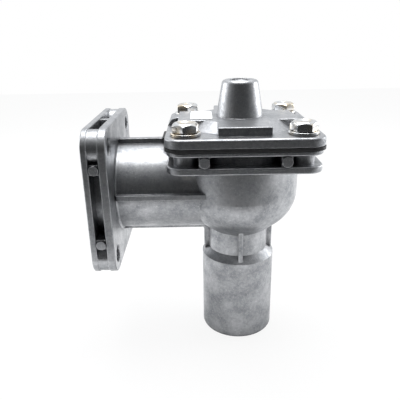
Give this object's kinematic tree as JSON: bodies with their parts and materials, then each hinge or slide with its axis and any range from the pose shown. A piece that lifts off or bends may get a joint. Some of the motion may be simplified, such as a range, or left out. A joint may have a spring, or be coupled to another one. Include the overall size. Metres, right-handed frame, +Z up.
{
  "type": "pulse jet valve",
  "caption": "Right-angle diaphragm pulse valve, remote piloted: square bolted inlet flange, bowl under a bolted square cover with pilot boss, round outlet spigot below.",
  "frame": {"origin": "centre of the inlet flange's mounting face", "axes": "+X from the inlet face along the pipe to the valve axis, +Z up to the cover, outlet spigot along -Z"},
  "size_m": [0.0951, 0.0634, 0.1198],
  "materials": {
    "cast_aluminium": "satin die-cast, shot blasted",
    "zinc_steel": "bright zinc plated",
    "black_rubber": "matt moulded rubber",
    "stainless_steel": "plain rolled",
    "white_label": "blank coated paper"
  },
  "bodies": {
    "housing": {"valve_body": "cast_aluminium", "cover": "cast_aluminium", "diaphragm": "black_rubber", "return_spring": "stainless_steel", "inlet_o_ring": "black_rubber", "label": "white_label", "cover_bolt_front_left": "zinc_steel", "cover_washer_front_left": "zinc_steel", "cover_bolt_front_right": "zinc_steel", "cover_washer_front_right": "zinc_steel", "cover_bolt_rear_left": "zinc_steel", "cover_washer_rear_left": "zinc_steel", "cover_bolt_rear_right": "zinc_steel", "cover_washer_rear_right": "zinc_steel"},
    "diaphragm_core": {"diaphragm_top_plate": "stainless_steel", "seat_disc": "black_rubber", "clamp_plate": "stainless_steel", "core_bolt": "stainless_steel", "core_nut": "stainless_steel", "core_lock_washer": "stainless_steel"}
  },
  "joints": [
    {"name": "diaphragm_lift", "type": "slide", "parent": "housing", "child": "diaphragm_core", "axis": [0, 0, 1], "range_m": [0, 0.005], "stiffness_N_per_m": 600, "springref_m": -0.008, "deforming": ["diaphragm", "return_spring"]}
  ]
}
